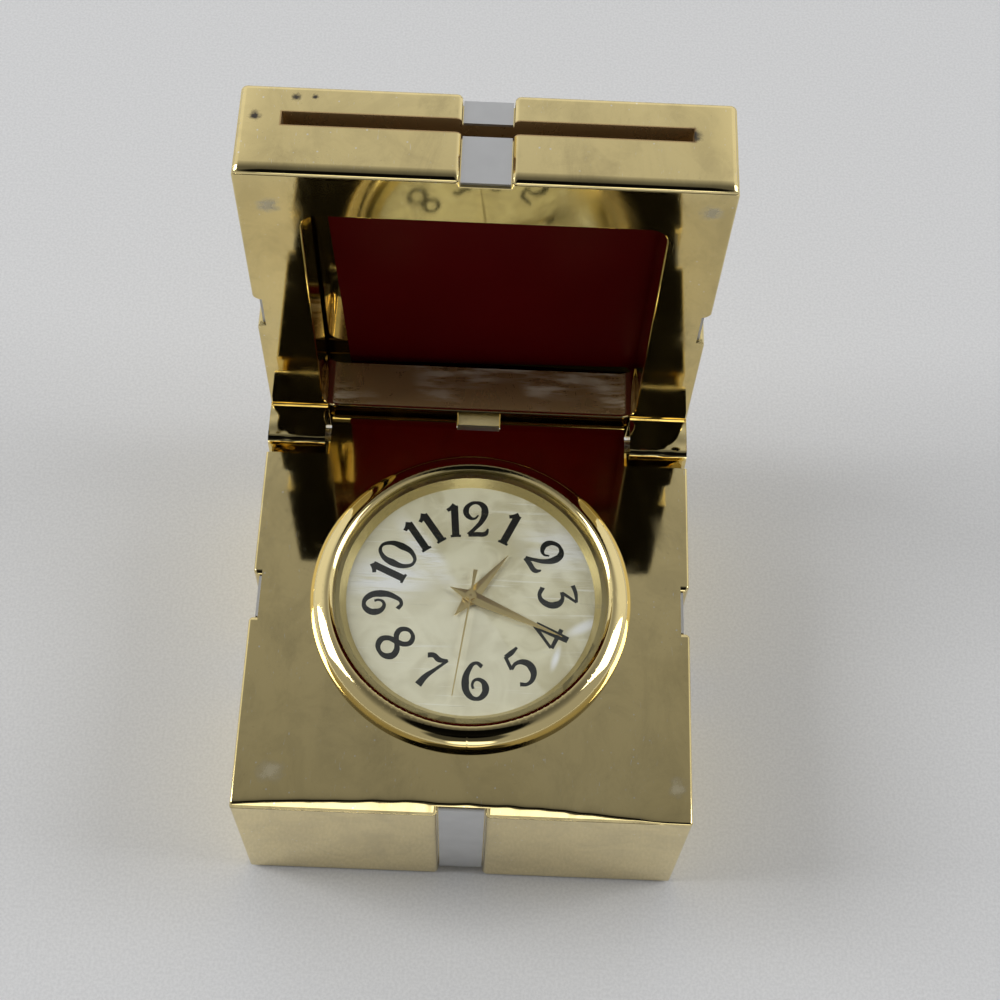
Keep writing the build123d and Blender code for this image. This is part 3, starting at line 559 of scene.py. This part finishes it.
settings = {"waves": 0.002, "peel": 0.0002, "stains": 0.0}
bezel_gold, place, colour, height, smear = polished_gold("gold_plate_bezel", **settings)
brushing, out = brushing_round(bezel_gold, place)
in_bore = out.ramp(BORE_EDGE, BORE_EDGE - 0.05)
brushed = bezel_gold.mix(brushing, BRUSHED_LIGHT, BRUSHED_DARK)
bezel_gold.set(
    Base_Color=bezel_gold.mix(in_bore, colour, brushed),
    Roughness=POLISH + smear * 0.05 + in_bore * 0.25,
    Normal=bezel_gold.relief(height),
)


def widen_ring(piece):
    """Takes the ring's outer edge out to the bezel's bore, where the glass hides the gap."""
    for vertex in piece.data.vertices:
        off = Vector((vertex.co.x / MM - clock_centre.x, vertex.co.y / MM - clock_centre.y))
        if off.length > RING_EDGE:
            shift = off.normalized() * (RING_REACH - off.length) * MM
            vertex.co += Vector((shift.x, shift.y, 0.0))


ring_gold = new_finish("gold_plate_brushed")
brushing, out = brushing_round(ring_gold, ring_gold.place())
ring_gold.set(
    Base_Color=ring_gold.mix(brushing, BRUSHED_LIGHT, BRUSHED_DARK),
    Metallic=1.0,
    Roughness=0.22 + brushing * 0.14,
    Normal=ring_gold.relief(brushing * 0.006),
)

hand_gold = new_finish("gold_plate_hands")
place = hand_gold.place()
polish_lines = hand_gold.noise(hand_gold.stretch(place, (1, 4, 1), (0, 0, 0.4)), 0.15, 2.0)
hand_gold.set(
    Base_Color=hand_gold.mix(polish_lines, (0.95, 0.80, 0.40), (0.88, 0.68, 0.28)),
    Metallic=1.0,
    Roughness=0.28 + polish_lines * 0.08,
    Normal=hand_gold.relief(polish_lines * 0.001),
)
dress(smooth_copy("bezel"), bezel_gold)
ring = smooth_copy("dial_ring")
dress(ring, ring_gold)
widen_ring(ring)
for node in ("hour_hand", "minute_hand", "second_hand"):
    dress(smooth_copy(node), hand_gold)

# %% [markdown]
# ## Silver ribbon
#
# The ribbon's strips are satin silver, with a fine sandy grain that spreads the light.

# %% Ribbon strips
ribbon_silver = new_finish("satin_silver")
place = ribbon_silver.place()
grain = ribbon_silver.noise(place, 0.09, 2.0, 0.6)
cloud = ribbon_silver.noise(place, 3.5, 3.0)
ribbon_silver.set(
    Base_Color=ribbon_silver.mix(cloud, (0.66, 0.665, 0.67), (0.52, 0.525, 0.53)),
    Metallic=1.0,
    Roughness=0.36 + cloud * 0.14,
    Normal=ribbon_silver.relief(grain * 0.006),
)
for node in frame["nodes"]:
    if "ribbon" in node:
        dress(smooth_copy(node), ribbon_silver)

# %% [markdown]
# ## Mother of pearl
#
# The dial is a thin slice of shell, whose layers meet along a slanting, swaying seam, with fine straight
# growth lines. Its own colour is creamy. The silky white places are painted sheen: soft ovals of
# whiter colour, broken up by a long stretched noise, with a few small painted glints at its right edge.

# %% Dial
pearl = new_finish("mother_of_pearl")
place = pearl.place()
across, along, up = pearl.axes(place)


def sheen_patch(centre, turn, length, width):
    """A soft oval of painted sheen, a whiter shell colour, about a point of the dial, in millimetres."""
    x, y = centre
    off_x, off_y = across - x, along - y
    lengthwise = (off_x * math.cos(turn) + off_y * math.sin(turn)) / length
    sideways = (off_y * math.cos(turn) - off_x * math.sin(turn)) / width
    return ((lengthwise * lengthwise + sideways * sideways) ** 0.5).ramp(1.2, 0.15)


SEAM_TURN = math.radians(-52)
SEAM_POINT = (-3.6, 5.2)
SEAM_SWAY = 1.6
from_seam_x = across - SEAM_POINT[0]
from_seam_y = along - SEAM_POINT[1]
past_seam = from_seam_x * math.sin(SEAM_TURN) - from_seam_y * math.cos(SEAM_TURN)
seam_sway = (pearl.noise(place, 5.0, 2.0) - 0.5) * SEAM_SWAY
leaf = (past_seam + seam_sway).ramp(-0.25, 0.25)
silk = pearl.noise(pearl.stretch(place, (0.22, 1.6, 1), (0, 0, 0.10)), 1.5, 5.0, 0.6, 0.5)
clouds = pearl.noise(place, 4.2, 3.0, 0.5, 0.8)
lines = pearl.noise(pearl.stretch(place, (0.07, 2.6, 1), (0, 0, 0.06)), 0.9, 3.0, 0.6).ramp(0.60, 0.70)
# Painted sheen: soft ovals of whiter colour where the shell would throw light back, broken up by its silky
# grain.
left_painted_sheen = sheen_patch((-9.5, 2.6), 0.12, 6.0, 3.2)
upper_painted_sheen = sheen_patch((-5.5, 6.0), -0.9, 5.5, 1.6)
right_painted_sheen = sheen_patch((10.5, 7.0), -0.25, 6.0, 3.6)
# Painted glints: two small ovals of near-white colour at the dial's right edge.
painted_edge_glint = sheen_patch((13.0, -2.6), 0.5, 2.6, 0.8).most(sheen_patch((9.8, -6.6), 1.3, 1.7, 0.5))
painted_sheen_ovals = left_painted_sheen.most(upper_painted_sheen).most(right_painted_sheen * 0.7)
# bright holds the painted sheen and glints; it whitens the base colour and adds a little metallic.
bright = (painted_sheen_ovals * silk.ramp(0.30, 0.58) * 1.1 + painted_edge_glint).least(1.0)
milk = pearl.mix(clouds.ramp(0.35, 0.65), (0.54, 0.50, 0.33), (0.70, 0.67, 0.49))
milk = pearl.mix(leaf * 0.35, milk, (0.78, 0.76, 0.62))
shell = pearl.mix(bright.most(lines * 0.4), milk, (0.95, 0.96, 0.94))
pearl.set(
    Base_Color=shell,
    Metallic=bright * 0.25,
    Roughness=0.32 - lines * 0.08,
    Coat_Weight=0.4,
    Coat_Roughness=0.12,
    Normal=pearl.relief(silk * 0.012),
)
dress(smooth_copy("dial"), pearl)

# %% [markdown]
# ## Printed numerals
#
# The dial's numerals are bold with swelling strokes and round ends, like brush lettering. Each figure
# is a few curves whose points carry a radius, so a curve swells and thins as a pen stroke does.
# Turned into a mesh and pressed almost flat, they are a film of ink on the shell.

# %% Draw the figures
# Each stroke is a list of (x, y, half width) in a figure one unit tall, with y up.
FIGURES = {
    "0": [
        [(0.0, 0.52, 0.085), (0.07, 0.86, 0.05), (0.27, 1.0, 0.035), (0.47, 0.86, 0.05),
         (0.54, 0.5, 0.085), (0.47, 0.14, 0.05), (0.27, 0.0, 0.035), (0.07, 0.14, 0.05),
         (0.0, 0.52, 0.085)],
    ],
    "1": [
        [(0.0, 0.8, 0.045), (0.1, 0.86, 0.05), (0.2, 0.98, 0.05)],
        [(0.2, 0.94, 0.085), (0.2, 0.5, 0.085), (0.2, 0.06, 0.085)],
        [(0.06, 0.02, 0.03), (0.2, 0.03, 0.035), (0.34, 0.02, 0.03)],
    ],
    "2": [
        [(0.36, 0.62, 0.02), (0.24, 0.52, 0.03), (0.08, 0.6, 0.06), (0.03, 0.78, 0.07),
         (0.14, 0.95, 0.05), (0.32, 1.0, 0.04), (0.5, 0.9, 0.07), (0.54, 0.7, 0.085),
         (0.44, 0.44, 0.06), (0.22, 0.2, 0.045), (0.06, 0.05, 0.05)],
        [(0.06, 0.05, 0.055), (0.28, 0.05, 0.06), (0.52, 0.06, 0.06), (0.6, 0.2, 0.02)],
    ],
    "3": [
        [(0.02, 0.9, 0.05), (0.22, 0.96, 0.045), (0.52, 0.97, 0.03)],
        [(0.52, 0.97, 0.03), (0.36, 0.78, 0.035), (0.22, 0.6, 0.04)],
        [(0.2, 0.58, 0.03), (0.4, 0.6, 0.045), (0.56, 0.42, 0.085), (0.5, 0.14, 0.07),
         (0.28, 0.0, 0.045), (0.04, 0.1, 0.055)],
    ],
    "4": [
        [(0.4, 0.98, 0.05), (0.2, 0.64, 0.035), (0.02, 0.32, 0.035)],
        [(0.02, 0.3, 0.045), (0.32, 0.3, 0.05), (0.62, 0.3, 0.05)],
        [(0.42, 0.96, 0.085), (0.42, 0.5, 0.085), (0.42, 0.02, 0.075)],
    ],
    "5": [
        [(0.14, 0.93, 0.055), (0.32, 0.95, 0.06), (0.54, 1.0, 0.03)],
        [(0.14, 0.95, 0.04), (0.11, 0.76, 0.04), (0.08, 0.56, 0.04)],
        [(0.08, 0.56, 0.035), (0.28, 0.64, 0.045), (0.5, 0.52, 0.075), (0.55, 0.3, 0.085),
         (0.44, 0.08, 0.06), (0.22, 0.0, 0.04), (0.04, 0.1, 0.05)],
    ],
    "6": [
        [(0.48, 0.88, 0.05), (0.32, 0.99, 0.04), (0.12, 0.8, 0.06), (0.02, 0.46, 0.085),
         (0.08, 0.14, 0.07), (0.28, 0.0, 0.045), (0.48, 0.1, 0.07), (0.54, 0.3, 0.08),
         (0.44, 0.5, 0.05), (0.28, 0.52, 0.035), (0.2, 0.4, 0.03), (0.22, 0.28, 0.03)],
    ],
    "7": [
        [(0.02, 0.88, 0.06), (0.16, 0.95, 0.06), (0.34, 0.9, 0.065), (0.56, 0.98, 0.03)],
        [(0.56, 0.98, 0.03), (0.38, 0.62, 0.04), (0.24, 0.32, 0.065), (0.18, 0.04, 0.085)],
    ],
    "8": [
        [(0.27, 0.53, 0.05), (0.08, 0.66, 0.065), (0.05, 0.84, 0.06), (0.27, 0.99, 0.04),
         (0.48, 0.84, 0.06), (0.44, 0.66, 0.06), (0.27, 0.53, 0.06), (0.05, 0.38, 0.06),
         (0.01, 0.18, 0.07), (0.27, 0.01, 0.045), (0.53, 0.18, 0.08), (0.49, 0.38, 0.07),
         (0.27, 0.53, 0.05)],
    ],
    "9": [
        [(0.06, 0.12, 0.05), (0.22, 0.01, 0.04), (0.42, 0.2, 0.06), (0.52, 0.54, 0.085),
         (0.46, 0.86, 0.07), (0.26, 1.0, 0.045), (0.06, 0.9, 0.07), (0.0, 0.7, 0.08),
         (0.1, 0.5, 0.05), (0.26, 0.48, 0.035), (0.34, 0.6, 0.03), (0.32, 0.72, 0.03)],
    ],
}
FIGURE_WIDTH = {"1": 0.36, "4": 0.62}
USUAL_WIDTH = 0.55
FIGURE_HEIGHT = 4.3
FIGURE_GAP = 0.12
STROKE_WEIGHT = 1.18
NUMERAL_RADIUS = 10.0
DIAL_TURN = math.radians(5)  # the insert sits turned a little anticlockwise in its socket
INK_THICKNESS = 0.02

ink = new_finish("dial_ink")
place = ink.place()
ink_grain = ink.noise(place, 0.12, 2.0)
ink.set(
    Base_Color=ink.mix(ink_grain, (0.006, 0.008, 0.007), (0.018, 0.02, 0.018)),
    Roughness=0.45 + ink_grain * 0.1,
    Specular_IOR_Level=0.25,
    Normal=ink.relief(ink_grain * 0.004),
)


def draw_numeral(text):
    """The strokes of a numeral as one flat mesh, centred on the origin, in millimetres."""
    curve = bpy.data.curves.new(f"numeral_{text}", "CURVE")
    curve.dimensions = "3D"
    curve.bevel_depth = 1.0
    curve.bevel_resolution = 2
    curve.use_fill_caps = True
    curve.resolution_u = 6
    widths = [FIGURE_WIDTH.get(figure, USUAL_WIDTH) for figure in text]
    start = -(sum(widths) + FIGURE_GAP * (len(text) - 1)) / 2
    for figure, width in zip(text, widths):
        for stroke in FIGURES[figure]:
            spline = curve.splines.new("BEZIER")
            if stroke[0] == stroke[-1]:
                stroke = stroke[:-1]
                spline.use_cyclic_u = True
            spline.bezier_points.add(len(stroke) - 1)
            for point, (x, y, half_width) in zip(spline.bezier_points, stroke):
                point.co = ((start + x) * FIGURE_HEIGHT, (y - 0.5) * FIGURE_HEIGHT, 0)
                point.radius = half_width * FIGURE_HEIGHT * STROKE_WEIGHT
                point.handle_left_type = "AUTO"
                point.handle_right_type = "AUTO"
        start += width + FIGURE_GAP
    numeral = bpy.data.objects.new(f"numeral_{text}", curve)
    bpy.context.scene.collection.objects.link(numeral)
    select_only(numeral)
    bpy.ops.object.convert(target="MESH")
    return bpy.context.object


# %% Lay the numerals on the dial
dial_top = dial_high.z
for hour in range(1, 13):
    numeral = draw_numeral(str(hour))
    clockwise = math.radians(30 * hour) - DIAL_TURN
    upside_down = 4 <= hour <= 8
    lean = -clockwise + (math.pi if upside_down else 0)
    x = clock_centre.x + NUMERAL_RADIUS * math.sin(clockwise)
    y = clock_centre.y + NUMERAL_RADIUS * math.cos(clockwise)
    flat = Matrix.Diagonal((1, 1, INK_THICKNESS, 1))
    lay = Matrix.Translation((x * MM, y * MM, dial_top)) @ Matrix.Rotation(lean, 4, "Z")
    numeral.data.transform(lay @ Matrix.Scale(MM, 4) @ flat)
    dress(numeral, ink)
    bpy.ops.object.shade_flat()
    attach(numeral, "base")
print("numerals laid at", NUMERAL_RADIUS, "mm from the centre")

# %% [markdown]
# ## Glass
#
# The lens is clear and shows only by what it mirrors. A glossy layer is mixed over a transparent one,
# by how steeply the surface is seen, so the dial below stays bright and casts its own shadows.

# %% Lens
lens_finish = new_finish("lens_glass")
place = lens_finish.place()
fresnel = lens_finish.node("ShaderNodeFresnel", None, {"IOR": 1.5})
clear = lens_finish.node("ShaderNodeBsdfTransparent", None, {"Color": (0.985, 0.99, 0.985)})
dust = lens_finish.noise(lens_finish.stretch(place, (0.2, 2.0, 1.0), (0, 0, 0.25)), 1.4, 3.0)
dust = dust.ramp(0.66, 0.74)
lens_finish.set(
    Base_Color=(1.0, 1.0, 1.0),
    Roughness=0.03 + dust * 0.25,
    IOR=1.5,
    Specular_IOR_Level=1.0,
    Metallic=1.0,
    Normal=lens_finish.relief(lens_finish.noise(place, 8.0, 1.0) * 0.002),
)
gloss = Wire(lens_finish, lens_finish.surface.outputs[0])
facing_up = lens_finish.axes(lens_finish.node("ShaderNodeTexCoord", output="Normal"))[2].ramp(0.5, 0.9)
share = (fresnel * 0.8 + dust * 0.05) * facing_up
mixed = lens_finish.node("ShaderNodeMixShader", None, {0: share, 1: clear, 2: gloss})
lens_finish.join(mixed, lens_finish.tree.nodes["Material Output"].inputs["Surface"])
dress(smooth_copy("lens"), lens_finish)

# %% [markdown]
# ## Card, felt and what stays inside
#
# The picture card is a dark red printed sheet with a soft gloss. The felt is short wool. The rest are
# the plain engineering finishes of a quartz movement: nickelled steel, brass, moulded plastic,
# rubber, enamelled wire and a lacquered circuit board.


# %% Card and felt
card_red = new_finish("picture_card_red")
place = card_red.place()
fibres = card_red.noise(place, 0.15, 3.0, 0.6)
blush = card_red.noise(place, 12.0, 1.0)
card_red.set(
    Base_Color=card_red.mix(blush, (0.075, 0.0006, 0.0015), (0.055, 0.0004, 0.001)),
    Roughness=0.30 + fibres * 0.08,
    Specular_IOR_Level=0.04,
    Normal=card_red.relief(fibres * 0.002),
)
felt = new_finish("felt")
place = felt.place()
wool = felt.noise(place, 0.22, 4.0, 0.7)
felt.set(
    Base_Color=felt.mix(wool, (0.012, 0.012, 0.014), (0.045, 0.045, 0.05)),
    Roughness=0.95,
    Normal=felt.relief(wool * 0.12),
)


def plain_finish(name, first, second, grain, roughness, metallic=0.0, bump=0.003, stretch=(1, 1, 1)):
    """An engineering finish: two close colours clouded together, with a matching fine relief."""
    finish = new_finish(name)
    place = finish.stretch(finish.place(), stretch)
    cloud = finish.noise(place, grain, 3.0, 0.6)
    finish.set(
        Base_Color=finish.mix(cloud, first, second),
        Metallic=metallic,
        Roughness=roughness + cloud * 0.1,
        Normal=finish.relief(cloud * bump),
    )
    return finish


INNER_FINISHES = {
    "card": card_red,
    "felt": felt,
    "steel": plain_finish(
        "nickelled_steel", (0.60, 0.60, 0.61), (0.48, 0.48, 0.50), 0.3, 0.22, 1.0, 0.003, (1, 8, 1)
    ),
    "brass": plain_finish("turned_brass", (0.78, 0.60, 0.28), (0.66, 0.48, 0.20), 0.2, 0.25, 1.0),
    "rubber": plain_finish("gasket_rubber", (0.03, 0.03, 0.03), (0.05, 0.05, 0.05), 0.2, 0.65, 0.0, 0.01),
    "black_plastic": plain_finish("black_moulding", (0.03, 0.03, 0.032), (0.05, 0.05, 0.052), 0.15, 0.42),
    "white_plastic": plain_finish("white_moulding", (0.78, 0.78, 0.74), (0.70, 0.70, 0.67), 0.25, 0.40),
    "copper": plain_finish(
        "enamelled_wire", (0.62, 0.25, 0.10), (0.40, 0.13, 0.05), 0.12, 0.28, 1.0, 0.03, (8, 1, 1)
    ),
    "circuit": plain_finish("circuit_lacquer", (0.02, 0.16, 0.06), (0.01, 0.10, 0.04), 0.5, 0.30),
}
for node, piece in frame["nodes"].items():
    if not piece.hide_render and slot_of(node) in INNER_FINISHES:
        dress(piece, INNER_FINISHES[slot_of(node)])
        print(f"{node}: {slot_of(node)}")

# %% [markdown]
# ## Floor, world and lamps
#
# The photograph stands on a pale, finely speckled sheet. The floor is a plain matte sheet of that
# tone, and the polished sides mirror it. A mirror also needs a room: the world is pale near the
# horizon behind the clock and dimmer overhead and in front. A dark zone overhead and another lower in
# front stand for the photographer, and a bright window low in front lights the base's rolled edge.

# %% Floor
FLOOR_SIZE = 4.0
bpy.ops.mesh.primitive_plane_add(size=FLOOR_SIZE, location=(0, 0, 0))
floor = bpy.context.object
floor.name = "floor"
sheet = new_finish("floor_sheet")
place = sheet.place()
speckle = sheet.noise(place, 0.35, 2.0, 0.6)
sheet.set(
    Base_Color=sheet.mix(speckle.ramp(0.3, 0.7), (0.60, 0.605, 0.615), (0.67, 0.675, 0.685)),
    Roughness=0.9,
    Normal=sheet.relief(speckle * 0.004),
)
dress(floor, sheet)

# %% World
world = bpy.data.worlds.new("studio")
bpy.context.scene.world = world
studio = Finish(world)
towards = studio.node("ShaderNodeTexCoord", output="Generated")
north, zenith = studio.axes(towards)[1:]
ZENITH_LEVEL = 0.24
HORIZON_GAIN = 0.58
FRONT_SHARE = 0.45  # of the light behind the clock, what comes from in front


def patch(direction, inner, outer):
    """1 within inner degrees of a direction, fading to 0 at outer degrees."""
    values = {0: towards, 1: tuple(Vector(direction).normalized())}
    facing = studio.node("ShaderNodeVectorMath", {"operation": "DOT_PRODUCT"}, values, "Value")
    return facing.ramp(math.cos(math.radians(outer)), math.cos(math.radians(inner)))


level = zenith.ramp(1.0, 0.6) * HORIZON_GAIN + ZENITH_LEVEL
level = level * (north.ramp(-0.05, 0.4) * (1 - FRONT_SHARE) + FRONT_SHARE)
shade = 1 - patch((0, -0.47, 0.88), 19, 25) * 0.98
onlooker = 1 - patch((0, -0.85, 0.53), 16, 22) * 0.85
window = patch((0.05, -0.99, 0.12), 9, 14) * 1.6
glow = level * shade * onlooker + window
background = studio.tree.nodes["Background"]
grey = studio.node("ShaderNodeCombineColor", None, {0: glow, 1: glow, 2: glow})
studio.join(grey, background.inputs["Color"])
studio.join(1.0, background.inputs["Strength"])


# %% Lamps
LAMP_AIM = Vector((0, 0, 0.03))
LAMP_WIDTH = 0.55
LAMP_HEIGHT = 0.9


def soft_lamp(name, place, watts):
    data = bpy.data.lights.new(name, "AREA")
    data.shape = "RECTANGLE"
    data.size = LAMP_WIDTH
    data.size_y = LAMP_HEIGHT
    data.energy = watts
    lamp = bpy.data.objects.new(name, data)
    bpy.context.scene.collection.objects.link(lamp)
    facing = (LAMP_AIM - Vector(place)).to_track_quat("-Z", "Y")
    lamp.matrix_world = Matrix.Translation(place) @ facing.to_matrix().to_4x4()


soft_lamp("key", (-1.1, 0.1, 0.8), 11.0)
soft_lamp("fill", (1.1, 0.1, 0.8), 7.5)

# %% Set the view transform
bpy.context.scene.view_settings.view_transform = "Standard"
